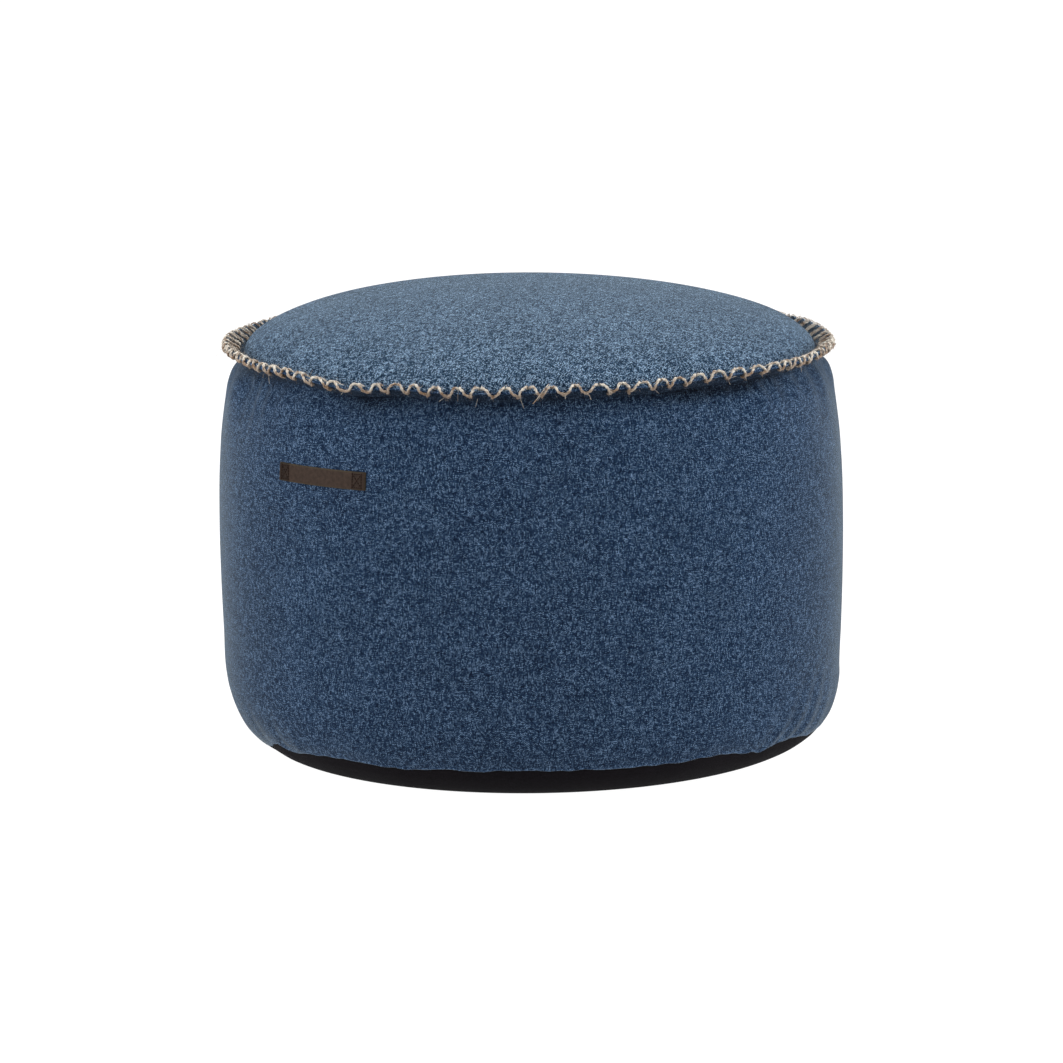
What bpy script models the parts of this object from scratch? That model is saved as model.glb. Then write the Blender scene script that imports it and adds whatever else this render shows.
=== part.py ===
"""Round drum footstool: upholstery cloth filled with beads.

A barrel-shaped side band and a domed top panel are sewn together at a raised
edge, which a natural wool yarn oversews in a zigzag. A shallow black panel
closes the base, and a small leather label is sewn to the side.

Metres. The origin is the centre of the base on the floor, +Z is up, and -Y is
the front. Angles are in radians, counted from the front towards +X.
"""
import math
import random

import bpy
import bmesh
from mathutils import Vector

# Driving dimensions
BODY_RADIUS = 0.3005            # the side band at its widest
FOOT_RADIUS = 0.2360            # the flat that rests on the floor
CORNER_HEIGHT = 0.0720          # floor to where the rounded lower corner ends
CORNER_RADIUS = 0.2967          # the side band at that height
BASE_SEAM_HEIGHT = 0.0305       # floor to the seam of the black panel
EDGE_SEAM_RADIUS = 0.2750       # the seam between top panel and side band
EDGE_SEAM_HEIGHT = 0.3785
CROWN_RISE = 0.0631             # crease of the top panel to the top of its dome
EDGE_WIDTH = 0.0202             # seam to the cut edge of the raised edge
EDGE_TILT = math.radians(32)    # the raised edge above the horizontal
CLOTH = 0.0017                  # the thickness of the panels and of each seam allowance
GAP = 0.0003                    # left between pieces that touch
SEAM_DIP = 0.0012               # how far a seam line draws the cloth in
EDGE_FACE = CLOTH + GAP / 2      # the raised edge's middle to its upper or lower face
SEGMENTS = 96                   # facets round the drum
STITCHES = 96                   # zigzag stitches round the edge

# The side band above its lower corner. Each row is a height on the floor, the
# radius there, the share of the seam's waves and the share of its gathers.
SIDE_STATIONS = (
    (0.115, 0.2985, 0.00, 0.00),
    (0.165, 0.3000, 0.02, 0.00),
    (0.220, BODY_RADIUS, 0.08, 0.00),
    (0.278, 0.2989, 0.15, 0.00),
    (0.313, 0.2962, 0.35, 0.15),
    (0.335, 0.2927, 0.60, 0.50),
    (0.352, 0.2887, 0.80, 0.95),
    (0.364, 0.2836, 0.95, 1.00),
)
# Rings on the dome's and the lower corner's quarter ellipses.
CROWN_TURNS = [math.radians(a) for a in (84, 76, 66, 52, 35, 18)]
CORNER_TURNS = [math.radians(a) for a in (18, 36)]
CORNER_TURNS_ABOVE = [math.radians(a) for a in (64, 76, 90)]

# Waves round the drum: how many, how high and where the first one starts.
SEAM_WAVES = (
    (1, 0.0013, -0.25), (2, 0.0012, -0.4), (3, 0.0014, -1.0),
    (5, 0.0006, 3.0), (9, 0.0005, 2.6), (14, 0.0003, 0.4),
)
TILT_WAVES = ((3, 0.050, 0.7), (7, 0.035, 2.2))
SCALLOPS = ((11, 0.0006, 0.9), (18, 0.0007, 2.0), (23, 0.0006, 4.1))
GATHERS = ((10, 0.25, 0.3), (17, 0.40, 1.9), (23, 0.35, 4.4))
GATHER_DEPTH = 0.0040           # gathers under the raised edge
BASE_GATHER_DEPTH = 0.0024
GATHER_IN_FRONT = 0.24          # of their depth at the sides
GATHER_TURN = math.radians(36)  # the base seam's gathers fade over this turn
DIP_TURN = math.radians(10)     # and its dip over this one
WAVE_FADE = 8                   # how fast the edge's waves fade up the dome
BASE_SEAM_SAG = 0.0020          # the base seam is lower at the sides than in front
LOWER_BULGE = 0.0030            # the lower corner is fuller on the right than on the left
CROWN_BULGE = 0.0018            # and the dome on the left

# The yarn, as one thick strand
YARN_WIDTH = 0.0025
YARN_CLEAR = 0.00035            # yarn to cloth
STITCH_DEPTH_TOP = 0.0060       # crease to the stitch's needle hole, upper face
STITCH_DEPTH_UNDER = 0.0130     # seam to the needle hole, lower face
STITCH_SHARE_OVER = 0.17        # half the space between the strands over the edge
NEEDLE_SHARE = 0.05             # half the yarn's stretch at a needle hole
STITCH_UNEVEN = 0.0011          # of a needle hole's place across the edge
STITCH_SHIFT = 0.06             # and along it, as a share of a stitch
OVER_UNEVEN = 0.25
STITCH_SEED = 41
MITRE_LIMIT = 0.3

SHARP_ANGLE = math.radians(50)

# The label
LABEL_ANGLE = math.radians(-41.2)
LABEL_HEIGHT = 0.2970           # floor to its middle
LABEL_LENGTH = 0.1100
LABEL_WIDTH = 0.0170
LABEL_THICK = 0.0015
LABEL_CLEAR = 0.0005
LABEL_STEPS = 10


def wave(table, angle):
    """Sum of the table's waves at an angle."""
    return sum(size * math.sin(count * angle + start) for count, size, start in table)


def gather(angle):
    """The gathers at a seam, -1 to 1: strong at the sides, faint in front and behind."""
    strength = GATHER_IN_FRONT + (1 - GATHER_IN_FRONT) * math.sin(angle) ** 2
    return strength * wave(GATHERS, angle)


def base_seam_turn(angle):
    """Turn on the lower corner's quarter ellipse where the base seam lies."""
    height = BASE_SEAM_HEIGHT - BASE_SEAM_SAG * math.sin(angle) ** 2 + wave(SCALLOPS, angle)
    return math.acos(1 - height / CORNER_HEIGHT)


def corner_point(angle, turn, depth=0.0):
    """Radius and height on the lower corner, depth below the cloth's face."""
    away = abs(turn - base_seam_turn(angle))
    drawn = max(0.0, 1 - away / GATHER_TURN)
    depth += SEAM_DIP * max(0.0, 1 - away / DIP_TURN)
    reach = CORNER_RADIUS - FOOT_RADIUS
    out = Vector((math.sin(turn) / reach, -math.cos(turn) / CORNER_HEIGHT)).normalized()
    radius = FOOT_RADIUS + reach * math.sin(turn) - drawn * BASE_GATHER_DEPTH * gather(angle)
    radius += LOWER_BULGE * math.sin(angle) * math.sin(2 * turn)
    height = CORNER_HEIGHT * (1 - math.cos(turn))
    return radius - depth * out.x, max(height - depth * out.y, depth)


def edge_frame(angle):
    """The seam point of the raised edge, and its outward and upward directions."""
    seam = Vector((EDGE_SEAM_RADIUS, EDGE_SEAM_HEIGHT + wave(SEAM_WAVES, angle)))
    tilt = EDGE_TILT + wave(TILT_WAVES, angle)
    along = Vector((math.cos(tilt), math.sin(tilt)))
    upper = Vector((-along.y, along.x))
    return seam, along, upper


def edge_point(angle, reach, lift):
    """Radius and height on the raised edge: reach from the seam, lift from its middle."""
    seam, along, upper = edge_frame(angle)
    point = seam + along * reach + upper * lift
    return point.x, point.y


def edge_root(angle, radius, lift):
    """The point at this radius on the line that runs lift above the edge's middle."""
    seam, along, upper = edge_frame(angle)
    start = seam + upper * lift
    return radius, start.y + along.y * (radius - start.x) / along.x


def crown_point(angle, turn, depth=0.0):
    """Radius and height on the dome, a quarter ellipse from its top (turn 0) to the crease."""
    crease_radius, crease_height = edge_point(angle, 0.0, EDGE_FACE)
    out = Vector((math.sin(turn) / crease_radius, math.cos(turn) / CROWN_RISE)).normalized()
    share = math.sin(turn) ** WAVE_FADE
    level = EDGE_SEAM_HEIGHT + EDGE_FACE * math.cos(EDGE_TILT)
    height = level + (crease_height - level) * share + CROWN_RISE * math.cos(turn)
    height -= CROWN_BULGE * math.sin(angle) * math.sin(2 * turn)
    radius = EDGE_SEAM_RADIUS + (crease_radius - EDGE_SEAM_RADIUS) * share
    return radius * math.sin(turn) - depth * out.x, height - depth * out.y


def side_point(angle, height):
    """Radius and height on the side band, between the stations above and below."""
    rows = list(zip(SIDE_STATIONS, SIDE_STATIONS[1:]))
    low, high = next((pair for pair in rows if height <= pair[1][0]), rows[-1])
    share = (height - low[0]) / (high[0] - low[0])
    radius, waves, gathers = [a + (b - a) * share for a, b in zip(low[1:], high[1:])]
    return radius - gathers * GATHER_DEPTH * gather(angle), height + waves * wave(SEAM_WAVES, angle)


def turned_solid(name, bottom, rows, top, lean):
    """A closed solid from rings of points, bottom to top along its outer face.

    Each row maps an angle to a radius and a height. The lean, 1 or -1, sets
    which way the facets' diagonals run, so that two facing pieces match.
    """
    bm = bmesh.new()
    angles = [2 * math.pi * i / SEGMENTS for i in range(SEGMENTS)]
    rings = []
    for row in rows:
        points = [(row(angle), angle) for angle in angles]
        rings.append([bm.verts.new((r * math.sin(a), -r * math.cos(a), z)) for (r, z), a in points])
    for low, high in zip(rings, rings[1:]):
        for i in range(SEGMENTS):
            j = (i + 1) % SEGMENTS
            a, b, c, d = low[i], low[j], high[j], high[i]
            halves = ((a, b, c), (a, c, d)) if lean > 0 else ((a, b, d), (b, c, d))
            for corners in halves:
                bm.faces.new(corners)
    first = bm.verts.new((0, 0, bottom))
    last = bm.verts.new((0, 0, top))
    for i in range(SEGMENTS):
        j = (i + 1) % SEGMENTS
        bm.faces.new((first, rings[0][j], rings[0][i]))
        bm.faces.new((last, rings[-1][i], rings[-1][j]))
    return finish(name, bm)


def finish(name, bm):
    """Turn a bmesh into a smooth-shaded object of the scene."""
    mesh = bpy.data.meshes.new(name)
    bm.to_mesh(mesh)
    bm.free()
    mesh.shade_smooth()
    mesh.set_sharp_from_angle(angle=SHARP_ANGLE)
    piece = bpy.data.objects.new(name, mesh)
    bpy.context.collection.objects.link(piece)
    return piece


def cloth_or_leather(name, color, roughness):
    """A plain non-metal material."""
    material = bpy.data.materials.new(name)
    material.use_nodes = True
    shader = material.node_tree.nodes["Principled BSDF"]
    shader.inputs["Base Color"].default_value = (*color, 1)
    shader.inputs["Roughness"].default_value = roughness
    shader.inputs["Metallic"].default_value = 0.0
    return material


def make_side_band():
    """The filled drum with its side cloth, recessed under both panels."""
    under = CLOTH + GAP
    crown_top = crown_point(0, 0, under)[1]
    recess_radius = edge_point(0, 0, EDGE_FACE)[0] - under
    rows = [lambda a: corner_point(a, 0, under)]
    for turn in CORNER_TURNS:
        rows.append(lambda a, turn=turn: corner_point(a, turn, under))
    rows.append(lambda a: raised(corner_point(a, base_seam_turn(a), under), GAP))
    rows.append(lambda a: raised(corner_point(a, base_seam_turn(a)), GAP))
    for turn in CORNER_TURNS_ABOVE:
        rows.append(lambda a, turn=turn: corner_point(a, turn))
    for station in SIDE_STATIONS:
        rows.append(lambda a, station=station: side_point(a, station[0]))
    rows.append(lambda a: edge_point(a, 0, -EDGE_FACE))
    rows.append(lambda a: edge_point(a, EDGE_WIDTH / 2, -EDGE_FACE))
    rows.append(lambda a: edge_point(a, EDGE_WIDTH, -EDGE_FACE))
    rows.append(lambda a: edge_point(a, EDGE_WIDTH, -GAP / 2))
    rows.append(lambda a: edge_root(a, recess_radius, -GAP / 2))
    for turn in CROWN_TURNS:
        rows.append(lambda a, turn=turn: crown_point(a, turn, under))
    return turned_solid("side_band", under, rows, crown_top, 1)


def raised(point, lift):
    """The same radius, a little higher."""
    return point[0], point[1] + lift


def make_top_panel():
    """The domed cloth disc, turned out and up into the upper seam allowance."""
    inner_radius = edge_point(0, 0, EDGE_FACE)[0] - CLOTH
    rows = []
    for turn in reversed(CROWN_TURNS):
        rows.append(lambda a, turn=turn: crown_point(a, turn, CLOTH))
    rows.append(lambda a: edge_root(a, inner_radius, GAP / 2))
    rows.append(lambda a: edge_point(a, EDGE_WIDTH, GAP / 2))
    rows.append(lambda a: edge_point(a, EDGE_WIDTH, EDGE_FACE))
    rows.append(lambda a: edge_point(a, EDGE_WIDTH / 2, EDGE_FACE))
    rows.append(lambda a: edge_point(a, 0, EDGE_FACE))
    for turn in CROWN_TURNS:
        rows.append(lambda a, turn=turn: crown_point(a, turn))
    inside, outside = crown_point(0, 0, CLOTH)[1], crown_point(0, 0)[1]
    return turned_solid("top_panel", inside, rows, outside, -1)


def make_base_panel():
    """The black dish under the drum, flat on the floor, up to its scalloped seam."""
    rows = [lambda a: corner_point(a, 0)]
    for turn in CORNER_TURNS:
        rows.append(lambda a, turn=turn: corner_point(a, turn))
    rows.append(lambda a: corner_point(a, base_seam_turn(a)))
    rows.append(lambda a: corner_point(a, base_seam_turn(a), CLOTH))
    for turn in reversed(CORNER_TURNS):
        rows.append(lambda a, turn=turn: corner_point(a, turn, CLOTH))
    rows.append(lambda a: corner_point(a, 0, CLOTH))
    return turned_solid("base_panel", 0.0, rows, CLOTH, -1)


def yarn_path():
    """Points and outward directions of the yarn: over the edge, through, and back."""
    rng = random.Random(STITCH_SEED)
    off = EDGE_FACE + YARN_CLEAR + YARN_WIDTH / 2
    end = EDGE_WIDTH + YARN_CLEAR + YARN_WIDTH / 2
    points = []
    for stitch in range(STITCHES):
        under = STITCH_DEPTH_UNDER + rng.uniform(-1, 1) * STITCH_UNEVEN
        top = STITCH_DEPTH_TOP + rng.uniform(-1, 1) * STITCH_UNEVEN
        over = STITCH_SHARE_OVER * (1 + rng.uniform(-1, 1) * OVER_UNEVEN)
        shift = rng.uniform(-1, 1) * STITCH_SHIFT
        visits = (
            (-NEEDLE_SHARE, under, -off, (0, -1)),
            (NEEDLE_SHARE, under, -off, (0, -1)),
            (0.5 - over + shift, end, -off, (1, -1)),
            (0.5 - over + shift, end, off, (1, 1)),
            (0.5 - NEEDLE_SHARE + shift, top, off, (0, 1)),
            (0.5 + NEEDLE_SHARE + shift, top, off, (0, 1)),
            (0.5 + over + shift, end, off, (1, 1)),
            (0.5 + over + shift, end, -off, (1, -1)),
        )
        for share, reach, lift, outward in visits:
            angle = 2 * math.pi * (stitch + share) / STITCHES
            radius, height = edge_point(angle, reach, lift)
            along, upper = edge_frame(angle)[1:]
            flat = along * outward[0] + upper * outward[1]
            points.append((
                Vector((radius * math.sin(angle), -radius * math.cos(angle), height)),
                Vector((flat.x * math.sin(angle), -flat.x * math.cos(angle), flat.y)).normalized(),
            ))
    return points


def make_edge_yarn():
    """One endless four-sided strand with mitred bends."""
    path = yarn_path()
    corner = YARN_WIDTH / math.sqrt(2)
    bm = bmesh.new()
    rings = []
    for i, (point, outward) in enumerate(path):
        before = (point - path[i - 1][0]).normalized()
        after = (path[(i + 1) % len(path)][0] - point).normalized()
        run = (before + after).normalized()
        bend = (after - before).normalized()
        widen = 1 / max(before.dot(run), MITRE_LIMIT) - 1
        side = run.cross(outward).normalized()
        out = side.cross(run)
        ring = []
        for quarter in range(4):
            turn = math.radians(45 + 90 * quarter)
            arm = (out * math.cos(turn) + side * math.sin(turn)) * corner
            arm += bend * widen * arm.dot(bend)
            ring.append(bm.verts.new(point + arm))
        rings.append(ring)
    for i, ring in enumerate(rings):
        following = rings[(i + 1) % len(rings)]
        for k in range(4):
            m = (k + 1) % 4
            bm.faces.new((ring[k], following[k], following[m], ring[m]))
    bmesh.ops.recalc_face_normals(bm, faces=bm.faces)
    bmesh.ops.triangulate(bm, faces=bm.faces)
    return finish("edge_yarn", bm)


def make_label():
    """The leather strip, lying on the curve of the side band."""
    half_turn = LABEL_LENGTH / 2 / BODY_RADIUS
    bm = bmesh.new()
    rings = []
    for step in range(LABEL_STEPS + 1):
        angle = LABEL_ANGLE + half_turn * (2 * step / LABEL_STEPS - 1)
        ring = []
        for rise, lift in ((-1, 0), (-1, LABEL_THICK), (1, LABEL_THICK), (1, 0)):
            height = LABEL_HEIGHT + rise * LABEL_WIDTH / 2
            radius = side_point(angle, height)[0] + LABEL_CLEAR + lift
            ring.append(bm.verts.new((radius * math.sin(angle), -radius * math.cos(angle), height)))
        rings.append(ring)
    for left, right in zip(rings, rings[1:]):
        for k in range(4):
            m = (k + 1) % 4
            bm.faces.new((left[k], left[m], right[m], right[k]))
    bm.faces.new(rings[0][::-1])
    bm.faces.new(rings[-1])
    bmesh.ops.recalc_face_normals(bm, faces=bm.faces)
    return finish("label", bm)


def clear_scene():
    """Remove whatever the file already holds."""
    for piece in list(bpy.data.objects):
        bpy.data.objects.remove(piece)


def main():
    """Each piece with its material's name, colour and roughness."""
    clear_scene()
    pieces = (
        (make_side_band, "blue_side_cloth", (0.028, 0.052, 0.096), 0.92),
        (make_top_panel, "blue_top_cloth", (0.085, 0.130, 0.190), 0.92),
        (make_base_panel, "black_base_cloth", (0.011, 0.011, 0.013), 0.80),
        (make_edge_yarn, "natural_yarn", (0.420, 0.340, 0.240), 0.95),
        (make_label, "brown_leather", (0.045, 0.034, 0.029), 0.55),
    )
    for make, material, color, roughness in pieces:
        make().data.materials.append(cloth_or_leather(material, color, roughness))


main()
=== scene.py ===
"""A round, bead-filled drum footstool in melange blue upholstery cloth.

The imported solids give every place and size; this scene cuts, sews and
finishes each piece over them. Metres; angles are counted from the front (-Y)
towards +X.
"""
import math

import bpy
import numpy as np
from mathutils import Matrix, Vector


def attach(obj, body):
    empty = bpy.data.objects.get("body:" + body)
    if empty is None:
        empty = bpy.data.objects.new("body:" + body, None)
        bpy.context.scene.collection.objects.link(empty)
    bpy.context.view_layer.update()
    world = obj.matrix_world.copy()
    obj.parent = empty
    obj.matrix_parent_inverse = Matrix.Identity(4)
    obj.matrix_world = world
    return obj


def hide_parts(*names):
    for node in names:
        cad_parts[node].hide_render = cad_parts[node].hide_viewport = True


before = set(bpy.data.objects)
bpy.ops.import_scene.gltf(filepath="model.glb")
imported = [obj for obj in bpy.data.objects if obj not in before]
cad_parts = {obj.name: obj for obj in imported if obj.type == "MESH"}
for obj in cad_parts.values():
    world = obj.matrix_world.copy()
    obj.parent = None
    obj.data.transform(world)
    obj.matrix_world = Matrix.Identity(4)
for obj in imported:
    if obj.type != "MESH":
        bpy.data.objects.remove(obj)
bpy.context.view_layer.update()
scene = bpy.context.scene


# ---------------------------------------------------------------- the studio
# The footstool stands on a pale floor in a white tent. A long lens looks
# slightly down on it, and the picture leans a little, right side up.
LENS = 210.5
TILT = math.radians(79.17)
ROLL = math.radians(-0.65)
STAND = (0.0, -5.893, 1.3298)
TENT_LIGHT = 0.42
LAMP_AIM = Vector((0, 0, 0.25))
FAR = 40


def put(name, data):
    """A new object in the scene."""
    made = bpy.data.objects.new(name, data)
    scene.collection.objects.link(made)
    return made


camera = put("camera", bpy.data.cameras.new("camera"))
camera.data.lens = LENS
camera.data.sensor_width = 36.0
camera.data.clip_end = 200.0
camera.matrix_world = (
    Matrix.Translation(STAND) @ Matrix.Rotation(TILT, 4, "X") @ Matrix.Rotation(ROLL, 4, "Z")
)
scene.camera = camera
scene.view_settings.view_transform = "Standard"
scene.view_settings.look = "None"


def wire(made, inputs):
    """A node with its inputs set or linked."""
    for key, value in inputs.items():
        if isinstance(value, bpy.types.NodeSocket):
            made.id_data.links.new(value, made.inputs[key])
        else:
            made.inputs[key].default_value = value
    return made


def node(tree, kind, inputs=None, **settings):
    """A new node with its settings, and its inputs set or linked."""
    made = tree.nodes.new(kind)
    for key, value in settings.items():
        setattr(made, key, value)
    return wire(made, inputs or {})


def figure(tree, operation, *values):
    """The result of a Math node."""
    return node(tree, "ShaderNodeMath", dict(enumerate(values)), operation=operation).outputs[0]


def new_material(name):
    """A material, its node tree and its shader."""
    material = bpy.data.materials.new(name)
    material.use_nodes = True
    return material, material.node_tree, material.node_tree.nodes["Principled BSDF"]


tent = bpy.data.worlds.new("white_tent")
tent.use_nodes = True
wire(tent.node_tree.nodes["Background"], {"Color": (1.0, 1.0, 1.0, 1), "Strength": TENT_LIGHT})
scene.world = tent

# name, place, width, length, power in watts
for name, place, width, length, power in (
    ("box_above", (0.0, -0.1, 2.6), 3.0, 2.6, 112.0),
    ("box_left", (-2.2, -1.0, 0.9), 1.6, 2.0, 69.5),
    ("box_right", (2.2, -1.0, 0.9), 1.6, 2.0, 75.0),
):
    lamp = bpy.data.lights.new(name, "AREA")
    lamp.shape = "RECTANGLE"
    lamp.size, lamp.size_y, lamp.energy = width, length, power
    holder = put(name, lamp)
    holder.location = place
    holder.rotation_euler = (LAMP_AIM - holder.location).to_track_quat("-Z", "Y").to_euler()
    holder.visible_camera = False

sweep = bpy.data.meshes.new("floor")
sweep.from_pydata([(-FAR, -FAR, 0), (FAR, -FAR, 0), (FAR, FAR, 0), (-FAR, FAR, 0)], [], [(0, 1, 2, 3)])
floor = put("floor", sweep)
paint, _, shader = new_material("white_floor")
wire(shader, {
    "Base Color": (0.08, 0.08, 0.08, 1), "Roughness": 0.9,
    "Emission Color": (1, 1, 1, 1), "Emission Strength": 1.0,
})
floor.data.materials.append(paint)


# ------------------------------------------------------------ the filled drum
# The side panel is one band of melange blue cloth over the bead filling. It is
# eased on to the base at its lower seam, where it lies over the black panel,
# and gathered under the raised edge, where its seam allowance stands out.
COLUMNS = 720
ANGLES = np.linspace(-math.pi, math.pi, COLUMNS, endpoint=False)
BODY_RADIUS = 0.3005
FOOT_RADIUS = 0.2360
CORNER_HEIGHT = 0.0720
CORNER_RADIUS = 0.2967
BASE_SEAM_HEIGHT = 0.0305
EDGE_SEAM_RADIUS = 0.2750
EDGE_SEAM_HEIGHT = 0.3785
CROWN_RISE = 0.0631
EDGE_WIDTH = 0.0202
EDGE_TILT = math.radians(32)
CLOTH = 0.0017
GAP = 0.0003
EDGE_FACE = CLOTH + GAP / 2
SEAM_DIP = 0.0012
SIDE_STATIONS = (
    (0.115, 0.2985, 0.00, 0.00), (0.165, 0.3000, 0.02, 0.00), (0.220, BODY_RADIUS, 0.08, 0.00),
    (0.278, 0.2989, 0.15, 0.00), (0.313, 0.2962, 0.35, 0.15), (0.335, 0.2927, 0.60, 0.50),
    (0.352, 0.2887, 0.80, 0.95), (0.364, 0.2836, 0.95, 1.00),
)
SEAM_WAVES = (
    (1, 0.0013, -0.25), (2, 0.0012, -0.4), (3, 0.0014, -1.0),
    (5, 0.0006, 3.0), (9, 0.0005, 2.6), (14, 0.0003, 0.4),
)
SEAM_LIFTS = ((-50, 7, 0.0018), (-25, 7, 0.0036), (13, 9, 0.0022), (62, 14, -0.0022))
TILT_WAVES = ((3, 0.050, 0.7), (7, 0.035, 2.2))
TILT_SWELLS = ((-66, 20, 0.17), (70, 10, 0.08))
SCALLOPS = ((11, 0.0006, 0.9), (18, 0.0007, 2.0), (23, 0.0006, 4.1))
GATHERS = ((10, 0.25, 0.3), (17, 0.40, 1.9), (23, 0.35, 4.4))
GATHER_DEPTH = 0.0040
BASE_GATHER_DEPTH = 0.0024
GATHER_IN_FRONT = 0.24
GATHER_TURN = math.radians(36)
DIP_TURN = math.radians(10)
STITCHES = 86
FIRST_HOLE = math.radians(1.84)
STITCH_SHIFTS = ((-30, 6, 1.1), (33, 7, -1.5), (53, 6, 1.3))
EDGE_SWAY = -0.075
NOTCH = 0.0016
WAVE_FADE = 8
BASE_SEAM_SAG = 0.0020
HEM_LIFTS = (
    (-72, 9, -0.0165), (-54.5, 4.6, -0.0062), (-36, 9, -0.0016), (-24, 4.5, -0.0042), (-14.5, 2.5, 0.0018),
    (32.2, 2.6, 0.0026), (43.5, 3.0, -0.0030), (48.2, 1.5, -0.0034), (72, 9, -0.0080),
)
HEM_TUCKS = ((41, 0.00025, 1.0), (67, 0.00030, 2.6), (89, 0.00020, 0.2))
LOWER_BULGE = 0.0030
CROWN_BULGE = 0.0018
LIP_TURN = 0.03
CORNER_TOP = math.radians(74)
CROWN_TURNS = [math.radians(turn) for turn in (84, 76, 66, 52, 35, 18, 8)]


def wave(table, angle):
    """Sum of the table's waves at an angle."""
    return sum(size * np.sin(count * angle + start) for count, size, start in table)


def swells(table, angle):
    """Sum of the table's smooth swells at an angle: each has a place, a spread and a rise."""
    total = 0.0 * angle
    for place, spread, rise in table:
        away = np.angle(np.exp(1j * (angle - math.radians(place)))) / math.radians(spread)
        total = total + rise * np.exp(-away**2)
    return total


def seam_lift(angle):
    """How far the edge seam wanders up and down."""
    return wave(SEAM_WAVES, angle) + swells(SEAM_LIFTS, angle)


def gather(angle):
    """The gathers at a seam: strong at the sides, faint in front and behind."""
    return (GATHER_IN_FRONT + (1 - GATHER_IN_FRONT) * np.sin(angle) ** 2) * wave(GATHERS, angle)


def base_seam_turn(angle):
    """Turn on the lower corner's quarter ellipse where the base seam lies."""
    height = BASE_SEAM_HEIGHT - BASE_SEAM_SAG * np.sin(angle) ** 2 + wave(SCALLOPS, angle)
    height = height + swells(HEM_LIFTS, angle) + wave(HEM_TUCKS, angle)
    return np.arccos(1 - height / CORNER_HEIGHT)


def corner_row(turn, depth=0.0, angle=ANGLES):
    """Radius and height round the lower corner, depth below the cloth's face."""
    turn = turn + 0 * angle
    away = np.abs(turn - base_seam_turn(angle))
    depth = depth + SEAM_DIP * np.clip(1 - away / DIP_TURN, 0, 1)
    reach = CORNER_RADIUS - FOOT_RADIUS
    out = np.stack([np.sin(turn) / reach, -np.cos(turn) / CORNER_HEIGHT])
    out /= np.linalg.norm(out, axis=0)
    radius = FOOT_RADIUS + reach * np.sin(turn)
    radius -= np.clip(1 - away / GATHER_TURN, 0, 1) * BASE_GATHER_DEPTH * gather(angle)
    radius += LOWER_BULGE * np.sin(angle) * np.sin(2 * turn)
    height = CORNER_HEIGHT * (1 - np.cos(turn))
    return np.stack([radius - depth * out[0], np.maximum(height - depth * out[1], depth)], axis=-1)


def edge_tilt(angle):
    """How steeply the raised edge stands up."""
    return EDGE_TILT + wave(TILT_WAVES, angle) + swells(TILT_SWELLS, angle)


def edge_row(reach, lift, angle=ANGLES):
    """Radius and height on the raised edge: reach from the seam, lift from its middle.

    The edge is a little wider on the left than on the right, and each stitch
    notches it where it dives under.
    """
    tilt = edge_tilt(angle)
    from_hole = angle - FIRST_HOLE - np.radians(swells(STITCH_SHIFTS, angle))
    drawn = np.clip(np.cos(STITCHES * from_hole), 0, 1) ** 2
    reach = reach * (1 + EDGE_SWAY * np.sin(angle)) - NOTCH * drawn * (reach / EDGE_WIDTH) ** 2
    radius = EDGE_SEAM_RADIUS + np.cos(tilt) * reach - np.sin(tilt) * lift
    height = EDGE_SEAM_HEIGHT + seam_lift(angle) + np.sin(tilt) * reach + np.cos(tilt) * lift
    return np.stack([radius, height], axis=-1)


def root_row(radius, lift):
    """The points at one radius on the line that runs lift above the edge's middle."""
    start = edge_row(0.0, lift)
    height = start[:, 1] + np.tan(edge_tilt(ANGLES)) * (radius - start[:, 0])
    return np.stack([radius + 0 * ANGLES, height], axis=-1)


def crown_row(turn, depth=0.0, angle=ANGLES):
    """Radius and height on the dome, from its top (turn 0) down to the crease."""
    crease = edge_row(0.0, EDGE_FACE, angle)
    out = np.stack([math.sin(turn) / crease[:, 0], math.cos(turn) / CROWN_RISE + 0 * angle])
    out /= np.linalg.norm(out, axis=0)
    share = math.sin(turn) ** WAVE_FADE
    level = EDGE_SEAM_HEIGHT + EDGE_FACE * math.cos(EDGE_TILT)
    height = level + (crease[:, 1] - level) * share + CROWN_RISE * math.cos(turn)
    height = height - CROWN_BULGE * np.sin(angle) * math.sin(2 * turn)
    radius = EDGE_SEAM_RADIUS + (crease[:, 0] - EDGE_SEAM_RADIUS) * share
    return np.stack([radius * math.sin(turn) - depth * out[0], height - depth * out[1]], axis=-1)


def side_row(station, angle=ANGLES):
    """Radius and height at one station of the side."""
    height, radius, waves, gathers = station
    return np.stack([
        radius - gathers * GATHER_DEPTH * gather(angle), height + waves * seam_lift(angle),
    ], axis=-1)


def through(points, along, at):
    """A smooth line through points that lie that far along it, read at the given places."""
    slope = np.gradient(points, along, axis=0)
    k = np.clip(np.searchsorted(along, at, side="right") - 1, 0, len(along) - 2)
    fold = (-1,) + (1,) * (points.ndim - 1)
    span = (along[k + 1] - along[k]).reshape(fold)
    t = (at - along[k]).reshape(fold) / span
    line = (2 * t**3 - 3 * t**2 + 1) * points[k] + (3 * t**2 - 2 * t**3) * points[k + 1]
    return line + span * ((t**3 - 2 * t**2 + t) * slope[k] + (t**3 - t**2) * slope[k + 1])


def section_length(rows):
    """How far each row lies along the section from the first, on average."""
    steps = np.linalg.norm(np.diff(np.array(rows), axis=0), axis=2).mean(axis=1)
    return np.concatenate([[0], np.cumsum(steps)])


def faired(stations, count):
    """That many rows, spaced evenly along a smooth section through the stations."""
    along = section_length(stations)
    return through(np.array(stations), along, np.linspace(0, along[-1], count))


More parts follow.
